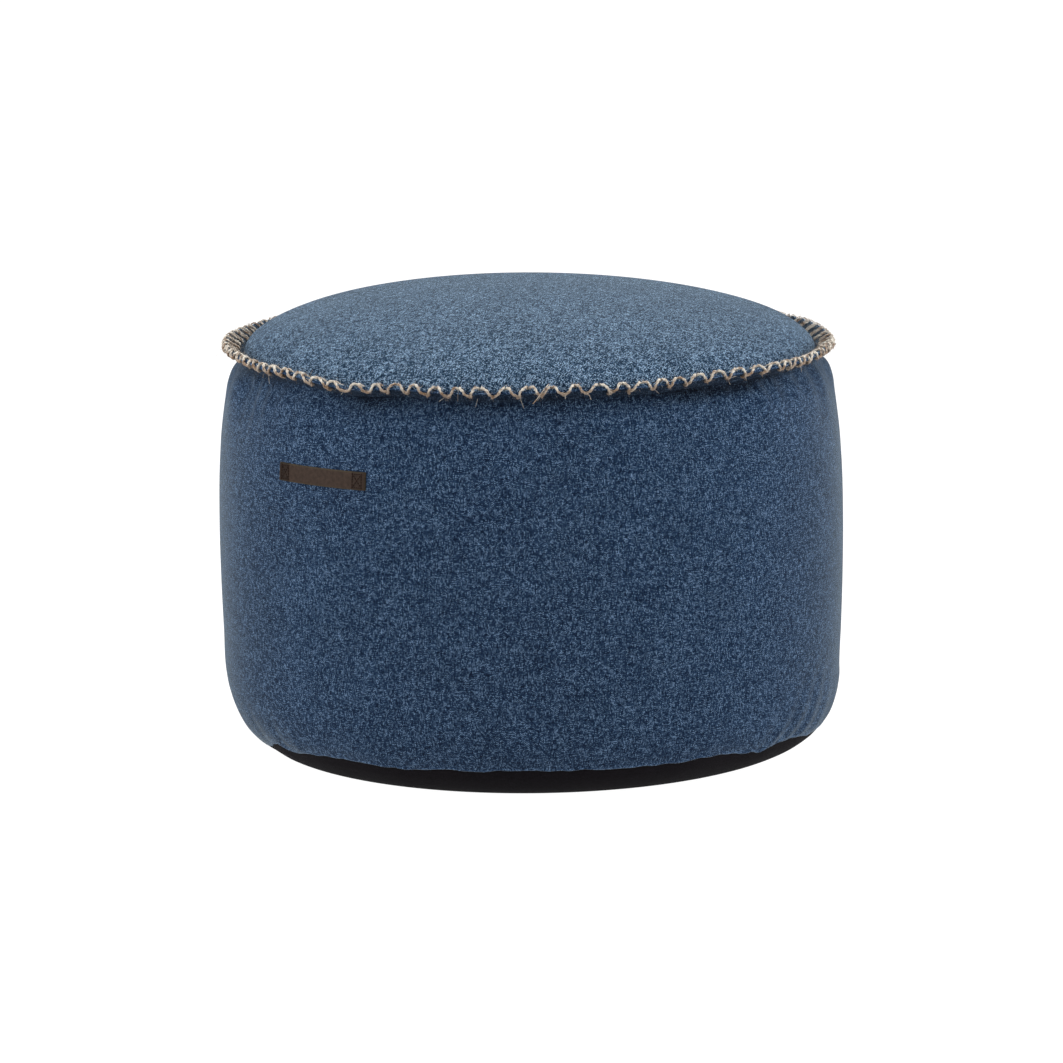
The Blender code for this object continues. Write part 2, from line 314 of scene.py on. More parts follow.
def round_about(rows, angle=ANGLES):
    """Rows of radius and height as points round the drum's axis."""
    rows = np.array(rows)
    radius, height = rows[..., 0], rows[..., 1]
    return np.stack([radius * np.sin(angle), -radius * np.cos(angle), height + 0 * radius], axis=-1)


def outwards(points):
    """The unit normals of a grid of points that closes round the drum."""
    across = np.roll(points, -1, axis=1) - np.roll(points, 1, axis=1)
    normal = np.cross(across, np.gradient(points, axis=0))
    return normal / np.maximum(np.linalg.norm(normal, axis=2, keepdims=True), 1e-12)


def ring_quads(rows, columns):
    """Point numbers of a grid that closes round, those of the next column, and its quads."""
    index = np.arange(rows * columns).reshape(rows, columns)
    beside = np.roll(index, -1, axis=1)
    quads = np.stack([index[:-1], beside[:-1], beside[1:], index[1:]], axis=-1)
    return index, beside, quads.reshape(-1, 4)


def mark(mesh, name, values):
    """Give each point of a mesh a number under that name."""
    mesh.attributes.new(name, "FLOAT", "POINT").data.foreach_set("value", np.asarray(values, np.float32))


def sewn_skin(name, points, cut, round_cut=0.0, paler_and_painted_shade=None):
    """A closed mesh over rings of points, with its cut pattern as a UV map in metres.

    The pattern's first coordinate grows by round_cut in one turn. The last
    argument says how much paler or darker each ring or point is made; its
    darker values are painted shade.
    """
    rows, columns = points.shape[:2]
    ends = [points[0].mean(axis=0), points[-1].mean(axis=0)]
    index, beside, quads = ring_quads(rows, columns)
    first, last = rows * columns, rows * columns + 1
    lower = np.stack([np.full(columns, first), beside[0], index[0]], axis=-1)
    upper = np.stack([np.full(columns, last), index[-1], beside[-1]], axis=-1)
    mesh = bpy.data.meshes.new(name)
    mesh.from_pydata(
        points.reshape(-1, 3).tolist() + [list(e) for e in ends], [],
        quads.tolist() + lower.tolist() + upper.tolist(),
    )
    wide = np.concatenate([cut, cut[:, :1] + [round_cut, 0]], axis=1)
    here, there = wide[:, :-1], wide[:, 1:]
    corners = np.stack([here[:-1], there[:-1], there[1:], here[1:]], axis=2).reshape(-1, 2)
    low_end = np.repeat(cut[:1].mean(axis=1), columns, axis=0)
    high_end = np.repeat(cut[-1:].mean(axis=1), columns, axis=0)
    lows = np.stack([low_end, there[0], here[0]], axis=1).reshape(-1, 2)
    highs = np.stack([high_end, here[-1], there[-1]], axis=1).reshape(-1, 2)
    pattern = mesh.uv_layers.new(name="cut")
    pattern.data.foreach_set("uv", np.concatenate([corners, lows, highs]).astype(np.float32).ravel())
    # Each point keeps its paler tone or painted shade as an attribute.
    if paler_and_painted_shade is not None:
        tone_shift = np.broadcast_to(paler_and_painted_shade.reshape(rows, -1), (rows, columns))
        mark(mesh, "paler_and_painted_shade", [*tone_shift.ravel(), tone_shift[0].mean(), tone_shift[-1].mean()])
    mesh.shade_smooth()
    return put(name, mesh)


# The cloth is cut a little fuller than the seams it is sewn to. The simulation
# lets it settle between them under the filling's pressure.
EASE = 0.035
EASE_DEPTH = 0.0035
SETTLE_FRAMES = 24
SETTLE_STEP = 2


def settle(rows, ease):
    """How a band of cloth, held at its first and last row, moves as it settles."""
    start = round_about(rows[:, ::SETTLE_STEP], ANGLES[::SETTLE_STEP])
    count, columns = start.shape[:2]
    index, _, quads = ring_quads(count, columns)
    mesh = bpy.data.meshes.new("settling")
    mesh.from_pydata(start.reshape(-1, 3).tolist(), [], quads.tolist())
    band = put("settling", mesh)
    held = band.vertex_groups.new(name="held")
    held.add(index[0].tolist() + index[-1].tolist(), 1.0, "REPLACE")
    full = band.vertex_groups.new(name="full")
    for k, weight in enumerate(ease[:, ::SETTLE_STEP].ravel().tolist()):
        full.add([k], min(max(weight, 0.0), 1.0), "REPLACE")
    cloth = band.modifiers.new("cloth", "CLOTH")
    for key, value in {
        "quality": 6, "mass": 0.4, "tension_stiffness": 25, "compression_stiffness": 25,
        "shear_stiffness": 12, "bending_stiffness": 3.0, "vertex_group_mass": "held",
        "vertex_group_shrink": "full", "shrink_min": 0.0, "shrink_max": -EASE,
        "use_pressure": True, "uniform_pressure_force": 1.0,
    }.items():
        setattr(cloth.settings, key, value)
    cloth.settings.effector_weights.gravity = 0.0
    cloth.collision_settings.use_collision = False
    cloth.point_cache.frame_start = 1
    cloth.point_cache.frame_end = SETTLE_FRAMES
    for moment in range(1, SETTLE_FRAMES + 1):
        scene.frame_set(moment)
    settled = band.evaluated_get(bpy.context.evaluated_depsgraph_get())
    found = np.zeros(count * columns * 3, np.float32)
    settled.data.vertices.foreach_get("co", found)
    found = found.reshape(count, columns, 3).astype(float)
    moved = ((found - start) * outwards(start)).sum(axis=2)
    bpy.data.objects.remove(band)
    bpy.data.meshes.remove(mesh)
    scene.frame_set(1)
    moved -= moved.mean(axis=1, keepdims=True)
    print("settled", round(float(np.abs(moved).max()) * 1000, 2), "mm at most")
    moved = EASE_DEPTH * np.tanh(moved / EASE_DEPTH)
    waves = np.fft.rfft(moved, axis=1)
    return np.fft.irfft(waves, n=columns * SETTLE_STEP, axis=1) * SETTLE_STEP


# Soft creases run down from the edge seam and up from the hem. Each has its
# place and spread in degrees, its rise (ridges up, troughs down) and length in
# metres, and how many degrees it leans to the right over a metre.
EDGE_CREASES = (
    (-70.5, 1.6, -0.0008, 0.034, 0), (-67.5, 1.4, 0.0006, 0.040, 0), (-65.3, 1.3, -0.0008, 0.036, 0),
    (-63.5, 1.2, 0.0007, 0.044, 0), (-61.4, 1.3, -0.0008, 0.040, 10), (-59.3, 1.3, 0.0008, 0.042, 10),
    (-56.8, 1.6, -0.0008, 0.030, 0), (-53.9, 1.7, 0.0005, 0.034, 0), (-50.5, 1.5, -0.0010, 0.028, 0),
    (-44, 1.6, -0.0008, 0.022, 0), (-31, 1.4, -0.0006, 0.018, 0), (-12, 1.3, -0.0005, 0.014, 0),
    (17, 1.3, -0.0006, 0.015, 0), (31, 1.5, -0.0010, 0.020, 0), (36.5, 1.6, -0.0016, 0.024, -20),
    (39.6, 1.3, 0.0011, 0.026, 0), (42.9, 1.6, -0.0012, 0.026, 0), (45.6, 1.3, 0.0009, 0.030, 0),
    (47.4, 1.2, -0.0011, 0.028, 0), (49.4, 1.3, 0.0009, 0.032, 0), (51.6, 1.4, -0.0011, 0.028, 0),
    (54, 1.4, 0.0008, 0.034, 0), (57, 1.7, -0.0011, 0.026, 10), (60.4, 1.7, 0.0008, 0.036, 10),
    (63.7, 1.7, -0.0010, 0.026, 0), (67.3, 1.7, 0.0008, 0.034, 0), (70.6, 1.7, -0.0009, 0.026, 0),
    (74.8, 1.9, 0.0009, 0.040, 0), (78.6, 1.9, -0.0009, 0.030, 0),
    (104, 2, -0.0013, 0.030, 0), (131, 1.8, -0.0012, 0.026, 10), (150, 1.7, 0.0009, 0.026, 0),
    (168, 1.9, -0.0008, 0.020, 0), (-96, 2, -0.0012, 0.030, 0), (-118, 1.9, 0.0010, 0.030, 0),
    (-127, 1.8, -0.0013, 0.028, 0), (-149, 1.7, -0.0010, 0.024, 0),
)
HEM_CREASES = (
    (-66, 1.8, -0.0010, 0.030, -60), (-56.5, 1.6, -0.0013, 0.030, -60), (-51, 1.3, 0.0010, 0.024, -50),
    (-39, 1.3, -0.0006, 0.016, 0), (-25.5, 1.2, -0.0008, 0.018, 0), (-21.8, 1, 0.0006, 0.016, 0),
    (-18, 1, -0.0007, 0.016, 0), (-6, 1.1, -0.0005, 0.013, 0), (9, 1.1, -0.0005, 0.013, 0),
    (20, 1.1, -0.0006, 0.015, 0), (32, 1.3, -0.0007, 0.020, 30), (43.5, 1.8, -0.0006, 0.028, 60),
    (47.8, 1.6, -0.0010, 0.040, 110), (50.4, 1.5, 0.0008, 0.044, 120), (52.9, 1.5, -0.0009, 0.044, 125),
    (55.6, 1.6, 0.0008, 0.050, 125), (58.3, 1.6, -0.0010, 0.050, 125), (61.2, 1.6, 0.0008, 0.052, 120),
    (64.4, 1.9, -0.0009, 0.046, 110), (68.5, 2, 0.0006, 0.044, 90), (73, 2.3, -0.0007, 0.036, 60),
    (98, 1.9, -0.0012, 0.032, 40), (126, 1.8, -0.0010, 0.026, -30), (157, 1.7, -0.0008, 0.022, 0),
    (-92, 1.9, -0.0011, 0.030, -40), (-115, 1.7, 0.0009, 0.026, 30), (-133, 1.8, -0.0010, 0.028, 30),
)


def creases(table, run):
    """How far the creases that start at a seam lift each ring, run metres from it."""
    total = np.zeros((len(run), COLUMNS))
    for place, spread, rise, length, lean in table:
        centre = np.radians(place + lean * run)[:, None]
        away = np.angle(np.exp(1j * (ANGLES[None] - centre))) / math.radians(spread)
        total += rise * np.exp(-away**2) * np.exp(-((run / length) ** 2))[:, None]
    return total


seam_turn = base_seam_turn(ANGLES)
lip = [
    corner_row(seam_turn - 0.004, CLOTH + GAP), corner_row(seam_turn - 0.010, 0.0008),
    corner_row(seam_turn - 0.004, -0.0004), corner_row(seam_turn + 0.012, -0.0010),
]
corner = [
    corner_row(seam_turn + LIP_TURN + (CORNER_TOP - seam_turn - LIP_TURN) * share, -0.0008 * (1 - share) ** 3)
    for share in np.linspace(0, 1, 18)
]
stations = [corner_row(CORNER_TOP), corner_row(math.radians(82)), corner_row(math.radians(90))]
stations += [side_row(station) for station in SIDE_STATIONS]
stations += [edge_row(-0.0004, -EDGE_FACE - 0.0042), edge_row(0.0, -EDGE_FACE)]
barrel = faired(stations, 118)[1:]
under_edge = faired([
    edge_row(0.0, -EDGE_FACE), edge_row(0.006, -EDGE_FACE), edge_row(0.013, -EDGE_FACE),
    edge_row(EDGE_WIDTH - 0.0012, -EDGE_FACE),
], 9)[1:]
tip = [
    edge_row(EDGE_WIDTH - 0.0004, -EDGE_FACE * 0.86), edge_row(EDGE_WIDTH, -EDGE_FACE * 0.5),
    edge_row(EDGE_WIDTH - 0.0003, -GAP / 2),
]
crease_radius = edge_row(0.0, EDGE_FACE)[:, 0].mean()
inside_top = [root_row(crease_radius - CLOTH - GAP, -GAP / 2)]
inside_top += [crown_row(turn, CLOTH + GAP) for turn in CROWN_TURNS]
inside_base = [corner_row(seam_turn * share, CLOTH + GAP) for share in (0.0, 0.35, 0.7, 0.9)]

band_rows = np.array([*lip[3:], *corner, *barrel])
band_length = section_length(band_rows)
down = (band_length[-1] - band_length) / band_length[-1]
ease_rows = np.exp(-((down - 0.06) / 0.12) ** 2) + 0.7 * np.exp(-((down - 0.97) / 0.10) ** 2)
ease = np.clip(ease_rows, 0, 1)[:, None] * (0.25 + 0.75 * np.sin(ANGLES)[None] ** 2)
pucker = np.zeros(band_rows.shape[:2])
pucker = settle(band_rows, ease)
band_points = round_about(band_rows)
fade = np.clip(np.minimum(band_length, band_length[-1] - band_length) / 0.010, 0, 1)
from_edge = band_length[-1] - band_length
near = np.clip(np.minimum(band_length, from_edge) / 0.004, 0, 1)[:, None]
crease = near * (creases(EDGE_CREASES, from_edge) + creases(HEM_CREASES, band_length))
band_points += outwards(band_points) * (pucker * fade[:, None] + crease)[..., None]

drum_rows = np.array([*inside_base, *lip[:3], *band_rows, *under_edge, *tip, *inside_top])
drum_points = round_about(drum_rows)
start = len(inside_base) + 3
drum_points[start:start + len(band_rows)] = band_points
height_cut = section_length(drum_rows)
drum_cut = np.stack(np.broadcast_arrays(ANGLES[None] * BODY_RADIUS, height_cut[:, None]), axis=-1)
edge_start = start + len(band_rows)
# Painted shade: the cloth's colour is darkened in the seam under the edge,
# most in the tucks on the right, and on the edge's underside. It is paler at
# the hem and along the cut edge.
SEAM_SHADE = (
    (-31, 8, -0.40), (38, 17, -0.62), (37, 1.7, -0.15), (40.7, 1.3, -0.20),
    (43.6, 1.2, -0.20), (47.0, 1.3, -0.20), (57, 3, -0.15), (-72, 6, -0.20),
)
deep = swells(SEAM_SHADE, ANGLES)
paler_and_painted_shade = np.zeros((len(drum_rows), COLUMNS))
paler_and_painted_shade[start - 3:start + 2] = 0.35
# Painted shade in the seam just under the edge.
for rows_down, share in enumerate((1.0, 1.0, 1.0, 0.85, 0.55, 0.25, 0.08)):
    paler_and_painted_shade[edge_start - 1 - rows_down] = deep * share - 0.45 * max(0.0, 1 - rows_down / 2.2)
# Painted shade on the edge's underside.
paler_and_painted_shade[edge_start:edge_start + len(under_edge) - 1] = -0.5
# Paler along the cut edge.
paler_and_painted_shade[edge_start + len(under_edge) - 1:edge_start + len(under_edge) + 2] = 0.25
paler_and_painted_shade = np.maximum(paler_and_painted_shade, -0.8)
drum = sewn_skin("drum", drum_points, drum_cut, 2 * math.pi * BODY_RADIUS, paler_and_painted_shade)
cloths = np.zeros(len(drum.data.polygons), np.int32)
cloths[(edge_start - 1) * COLUMNS:(edge_start + len(under_edge) + len(tip)) * COLUMNS] = 1


def mapped(tree, value, low, high, least=0.0, most=1.0):
    """A value moved from low..high to least..most and held there."""
    return node(tree, "ShaderNodeMapRange", {0: value, 1: low, 2: high, 3: least, 4: most}).outputs[0]


def noise(tree, place, scale, detail, roughness=0.5):
    """A noise texture's value at a place."""
    return node(tree, "ShaderNodeTexNoise", {
        "Vector": place, "Scale": scale, "Detail": detail, "Roughness": roughness,
    }).outputs[0]


def scaled(tree, value, by):
    """A vector or a colour times a number."""
    return node(tree, "ShaderNodeVectorMath", {0: value, 3: by}, operation="SCALE").outputs[0]


def woven_cloth(name, dark, middle, pale, pitch, sheen, haze, bias=0.0, spread=(0.30, 0.55, 0.75),
                tint=(0.80, 0.92, 1.0)):
    """Melange upholstery: plain weave whose yarns change colour along their length,
    with painted shade in the hollows between yarns, and paler or painted darker
    where the mesh's point attribute says.

    Spread gives the tones at which the dark, middle and pale yarns show.
    """
    material, tree, shader = new_material(name)
    cut = node(tree, "ShaderNodeUVMap", uv_map="cut").outputs[0]
    if bias:
        turned = node(tree, "ShaderNodeVectorRotate", {"Vector": cut, "Angle": bias}, rotation_type="Z_AXIS")
        cut = turned.outputs[0]
    place = node(tree, "ShaderNodeSeparateXYZ", {0: cut})
    across = figure(tree, "DIVIDE", place.outputs[0], pitch[0])
    along = figure(tree, "DIVIDE", place.outputs[1], pitch[1])
    warp, weft = figure(tree, "FLOOR", across), figure(tree, "FLOOR", along)
    over = figure(tree, "FLOORED_MODULO", figure(tree, "ADD", warp, weft), 2.0)

    def yarn_tone(row, run, stretch, start):
        """How pale a yarn is at a place along it, each row far from its neighbours in the noise."""
        at = node(tree, "ShaderNodeCombineXYZ", {
            0: figure(tree, "MULTIPLY", row, 7.31), 1: figure(tree, "MULTIPLY", run, stretch), 2: start,
        })
        return mapped(tree, noise(tree, at.outputs[0], 1.0, 1.5, 0.6), 0.30, 0.70)

    warp_tone = yarn_tone(warp, along, 0.26, 3.7)
    weft_tone = yarn_tone(weft, across, 0.22, 41.3)
    yarn = node(tree, "ShaderNodeMix", {0: over, 2: weft_tone, 3: warp_tone}).outputs[0]
    cell = node(tree, "ShaderNodeCombineXYZ", {
        0: figure(tree, "FLOOR", figure(tree, "MULTIPLY", across, 1.4)),
        1: figure(tree, "FLOOR", figure(tree, "MULTIPLY", along, 1.2)), 2: 0.5,
    })
    fleck = node(tree, "ShaderNodeTexWhiteNoise", {"Vector": cell.outputs[0]}, noise_dimensions="3D")
    fleck = fleck.outputs[0]
    tone = figure(tree, "ADD", figure(tree, "MULTIPLY", yarn, 0.58), figure(tree, "MULTIPLY", fleck, 0.33))
    tone = figure(tree, "ADD", tone, figure(tree, "MULTIPLY", over, 0.10))
    ramp = node(tree, "ShaderNodeValToRGB", {0: tone})
    ramp.color_ramp.elements[0].position, ramp.color_ramp.elements[0].color = spread[0], (*dark, 1)
    ramp.color_ramp.elements[1].position, ramp.color_ramp.elements[1].color = spread[2], (*pale, 1)
    ramp.color_ramp.elements.new(spread[1]).color = (*middle, 1)
    spot = node(tree, "ShaderNodeTexCoord").outputs["Object"]
    tone_shift = mapped(tree, noise(tree, spot, 22.0, 3.0, 0.6), 0.3, 0.7, 0.93, 1.07)
    # The mesh's point attribute makes the colour paler in places and darker where shade is painted.
    paler_and_painted_shade = node(tree, "ShaderNodeAttribute", attribute_name="paler_and_painted_shade").outputs["Fac"]
    shade = scaled(tree, ramp.outputs[0], figure(tree, "ADD", tone_shift, paler_and_painted_shade))

    def hump(value):
        """One at the middle of a yarn and nought at its edges."""
        off = figure(tree, "SUBTRACT", figure(tree, "FRACT", value), 0.5)
        off = figure(tree, "MULTIPLY", off, off)
        return figure(tree, "SUBTRACT", 1.0, figure(tree, "MULTIPLY", off, 3.6))

    relief = figure(tree, "MULTIPLY", hump(across), hump(along))
    # Painted shade: the colour darkens in the hollows between the yarns.
    painted_hollow_shade = figure(tree, "ADD", 0.45, figure(tree, "MULTIPLY", relief, 1.1))
    relief = figure(tree, "ADD", relief, figure(tree, "MULTIPLY", fleck, 0.5))
    relief = figure(tree, "ADD", relief, figure(tree, "MULTIPLY", yarn, 0.8))
    bump = node(tree, "ShaderNodeBump", {"Height": relief, "Strength": 0.55, "Distance": 0.00015})
    wire(shader, {
        "Base Color": scaled(tree, shade, painted_hollow_shade), "Normal": bump.outputs[0], "Roughness": 0.95,
        "Specular IOR Level": 0.05, "Sheen Weight": sheen, "Sheen Roughness": haze, "Sheen Tint": (*tint, 1),
    })
    return material


BLUE_YARNS = (0.0013, 0.0032, 0.0096), (0.0080, 0.0194, 0.0437), (0.082, 0.130, 0.203)
BLUE_PITCH = (0.00118, 0.00098)
drum.data.materials.append(woven_cloth(
    "blue_side_cloth", *BLUE_YARNS, BLUE_PITCH, 0.21, 0.30, spread=(0.20, 0.55, 0.85), tint=(0.87, 0.99, 1.0),
))
drum.data.materials.append(woven_cloth(
    "blue_edge_cloth", *BLUE_YARNS, BLUE_PITCH, 0.02, 0.32, spread=(0.19, 0.55, 0.87),
))
drum.data.polygons.foreach_set("material_index", cloths)
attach(drum, "root")
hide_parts("side_band")


# -------------------------------------------------------------- the top panel
# A disc of the same cloth, domed by the filling, its yarn colours painted
# lighter than the side's to stand in for the light from above. Past its seam
# it stands out and up as the upper seam allowance of the raised edge, cut and
# oversewn.
lower_face = [crown_row(turn, CLOTH) for turn in reversed(CROWN_TURNS)]
lower_face += [root_row(crease_radius - CLOTH, GAP / 2)]
lower_face += [edge_row(EDGE_WIDTH * share, GAP / 2) for share in (0.5, 0.98)]
cut_edge = [
    edge_row(EDGE_WIDTH, EDGE_FACE * 0.45), edge_row(EDGE_WIDTH - 0.0004, EDGE_FACE * 0.86),
    edge_row(EDGE_WIDTH - 0.0012, EDGE_FACE),
]
upper_edge = [edge_row(reach, EDGE_FACE) for reach in np.linspace(EDGE_WIDTH - 0.003, 0.0006, 9)]
dome = [crown_row(turn) for turn in np.radians(np.linspace(89.6, 1.0, 84))]
top_rows = np.array([*lower_face, *cut_edge, *upper_edge, *dome])
top_reach = section_length(top_rows)
top_reach = (top_rows[-1, :, 0].mean() + np.abs(top_reach[-1] - top_reach))[:, None]
top_cut = np.stack([top_reach * np.sin(ANGLES), -top_reach * np.cos(ANGLES)], axis=-1)
paler_and_painted_shade = np.zeros(len(top_rows))
# The cut edge is a little paler; painted shade darkens the edge's upper face and the crease where it meets
# the dome.
paler_and_painted_shade[len(lower_face) - 1:len(lower_face) + 3] = 0.05
paler_and_painted_shade[len(lower_face) + 3:len(lower_face) + 13] = -0.62
paler_and_painted_shade[len(lower_face) + 13] = -0.3
top = sewn_skin("top_cloth", round_about(top_rows), top_cut, paler_and_painted_shade=paler_and_painted_shade)
# Painted light: these tones are the side's cloth made lighter.
PAINTED_LIGHT_TOP_YARNS = (0.0022, 0.0052, 0.0122), (0.0149, 0.0328, 0.061), (0.140, 0.200, 0.270)
top.data.materials.append(woven_cloth(
    "blue_top_cloth", *PAINTED_LIGHT_TOP_YARNS, BLUE_PITCH, 0.078, 0.32, bias=math.radians(27), tint=(0.86, 0.98, 1.0),
))
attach(top, "root")
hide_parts("top_panel")


# ------------------------------------------------------------- the base panel
# A shallow black dish under the drum, flat where the footstool rests. Its rim
# runs up behind the blue cloth's hem, drawn in by the seam.
base_outer = [corner_row(seam_turn * share) for share in np.linspace(0.0, 1.0, 30)]
base_inner = [corner_row(seam_turn * share, CLOTH) for share in (0.995, 0.9, 0.7, 0.35, 0.0)]
foot = [np.stack([base_outer[0][:, 0] * share, 0 * ANGLES], axis=-1) for share in (0.3, 0.6, 0.85, 0.96)]
attic = [np.stack([base_inner[-1][:, 0] * share, 0 * ANGLES + CLOTH], axis=-1) for share in (0.85, 0.5)]
base_rows = np.array([*foot, *base_outer, *base_inner, *attic])
base_reach = section_length(base_rows)[:, None] + 0.07
base_cut = np.stack([base_reach * np.sin(ANGLES), -base_reach * np.cos(ANGLES)], axis=-1)
base = sewn_skin("base_cloth", round_about(base_rows), base_cut)
base.data.materials.append(woven_cloth(
    "black_base_cloth", (0.0021, 0.0016, 0.0021), (0.0036, 0.0029, 0.0038), (0.0068, 0.0056, 0.0074),
    (0.0006, 0.0006), 0.004, 0.5,
))
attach(base, "root")
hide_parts("base_panel")


# --------------------------------------------------------------- the edge yarn
# Two-ply natural wool, sewn over the cut edges of both panels in a wide zigzag.
# From each hole in the lower face it climbs to the edge, runs along it, dips to
# a hole in the upper face, and comes back down. Behind, the two strands that
# meet in a hole of the upper face stand apart.
YARN_WIDTH = 0.0025
YARN_CLEAR = 0.00035
HOLE_UPPER = 0.0060
HOLE_LOWER = 0.0150
PLY_RADIUS = 0.00074
PLY_OFFSET = 0.00059
TWIST = 0.0085
YARN_STEP = 0.0011
# How far the stitches stray from their mean, in shares of a stitch or in metres.
HOLE_STRAY = 0.085
LOW_STRAY = 0.0028
HIGH_STRAY = 0.0022
MIDDLE_STRAY = 0.09
WIDTH_STRAY = 0.26
MOST_SLACK = 0.0022
MOST_SWAY = 0.30

chance = np.random.default_rng(41)
off = EDGE_FACE + YARN_CLEAR + YARN_WIDTH / 2
visits = []
strays_by = chance.uniform(-1, 1, STITCHES) * HOLE_STRAY
for stitch in range(STITCHES):
    here, there = strays_by[stitch], strays_by[(stitch + 1) % STITCHES]
    facing = 2 * math.pi * (stitch + 0.5) / STITCHES - math.pi + FIRST_HOLE
    end = EDGE_WIDTH + YARN_CLEAR + YARN_WIDTH / 2 - 0.0012 * (0.5 - 0.5 * math.cos(facing))
    low = HOLE_LOWER + chance.uniform(-1, 1) * LOW_STRAY + 0.0012 * math.sin(facing) ** 2
    low = min(low + 0.0024 * max(0.0, -math.sin(facing)), end - 0.0012)
    high = HOLE_UPPER + chance.uniform(-1, 1) * HIGH_STRAY
    middle = 0.5 + 0.10 * math.sin(facing) + chance.uniform(-1, 1) * MIDDLE_STRAY
    wide = 1 + chance.uniform(-1, 1) * WIDTH_STRAY
    slack = chance.uniform(0, 1) ** 2 * MOST_SLACK * max(0.0, math.cos(facing))
    sway = chance.uniform(-1, 1) * MOST_SWAY
    apart = (0.12 - 0.05 * math.sin(facing)) * abs(math.sin(facing))
    apart *= min(1.0, 1.6 * max(0.0, 0.2 - math.cos(facing)))
    # The lower hole: share of a stitch from it, reach, lift in offs.
    foot = ((-0.055, low - 0.0004, -0.80), (-0.045, low + 0.0006, -1.02), (0.06, (low + end) / 2, -1.05))
    # One half of the stitch: share of a stitch from its middle, reach, lift, and
    # how much higher it lies before the upper hole than after it.
    half = (
        (0.345 * wide, end - 0.0008, -0.74, 0), (0.27 * wide + 0.35 * apart, end + slack * 0.6, -0.05, 0),
        (0.19 * wide + 0.7 * apart, end + slack, 0.45, sway),
        (0.10 * wide + apart, end - 0.0012 + slack, 0.86, 0), (0.055 + apart, (high + end) / 2, 1.02, 0),
        (0.040 + 0.9 * apart, high + 0.0006, 0.98, 0), (0.020 + 0.7 * apart, high - 0.0003, 0.78, 0),
    )
    knots = [(here + share, reach, lift) for share, reach, lift in foot]
    knots += [(middle - share, reach, lift + lean) for share, reach, lift, lean in half]
    knots += [(middle + share, reach, lift - lean) for share, reach, lift, lean in reversed(half)]
    knots += [(there + 1 - share, reach, lift) for share, reach, lift in reversed(foot)]
    visits += [(stitch + share, reach, lift * off) for share, reach, lift in knots]
share, reach, lift = np.array(visits).T
turn = 2 * math.pi * share / STITCHES - math.pi + FIRST_HOLE
turn = turn + np.radians(swells(STITCH_SHIFTS, turn))
knots = np.column_stack([round_about(edge_row(reach, lift, turn), turn), np.clip(-lift / off, -0.2, 1)])


def drawn_line(points, step):
    """Points at even steps along a smooth closed line through the given ones."""
    around = np.concatenate([points[-2:], points, points[:3]])
    gaps = np.linalg.norm(np.diff(around[:, :3], axis=0), axis=1)
    along = np.concatenate([[0], np.cumsum(gaps)])
    return through(around, along, np.arange(along[2], along[-3], step))


def thread_mesh(name, lines, closed=False, under=None):
    """A mesh of edges alone, for a node tree to make yarn or thread along.

    Under says how far each point lies below the raised edge, 0 to 1.
    """
    mesh = bpy.data.meshes.new(name)
    points, edges = [], []
    for line in lines:
        first = len(points)
        points += np.asarray(line).tolist()
        edges += [(first + k, first + k + 1) for k in range(len(line) - 1)]
        if closed:
            edges.append((len(points) - 1, first))
    mesh.from_pydata(points, edges, [])
    if under is not None:
        mark(mesh, "under", under)
    return put(name, mesh)


def grown(piece, tree, sizes):
    """A plain mesh from the piece's node tree, with the tree's named inputs set."""
    grow = piece.modifiers.new("grow", "NODES")
    grow.node_group = tree
    for item in tree.interface.items_tree:
        if item.in_out == "INPUT" and item.name in sizes:
            grow[item.identifier] = sizes[item.name]
    bpy.context.view_layer.update()
    mesh = bpy.data.meshes.new_from_object(piece.evaluated_get(bpy.context.evaluated_depsgraph_get()))
    mesh.name = piece.name
    piece.modifiers.clear()
    old, piece.data = piece.data, mesh
    bpy.data.meshes.remove(old)
    mesh.shade_smooth()
    return piece


def new_tree(name, inputs):
    """A geometry node tree with these named inputs."""
    tree = bpy.data.node_groups.new(name, "GeometryNodeTree")
    tree.interface.new_socket("Geometry", in_out="INPUT", socket_type="NodeSocketGeometry")
    tree.interface.new_socket("Geometry", in_out="OUTPUT", socket_type="NodeSocketGeometry")
    for label, kind in inputs:
        tree.interface.new_socket(label, in_out="INPUT", socket_type="NodeSocket" + kind)
    return tree, tree.nodes.new("NodeGroupInput").outputs


def end_tree(tree, grown_from, material):
    """The tree, ended: its instances made real, its material set, its mesh put out."""
    real = node(tree, "GeometryNodeRealizeInstances", {0: grown_from.outputs[0]})
    set_in = node(tree, "GeometryNodeSetMaterial", {"Geometry": real.outputs[0], "Material": material})
    node(tree, "NodeGroupOutput", {0: set_in.outputs[0]})
    return tree


def dots_along(tree, given, spacing):
    """Points at that spacing along the lines that the tree is given."""
    line = node(tree, "GeometryNodeMeshToCurve", {"Mesh": given["Geometry"]}).outputs[0]
    return node(tree, "GeometryNodeCurveToPoints", {"Curve": line, "Length": given[spacing]}, mode="LENGTH")


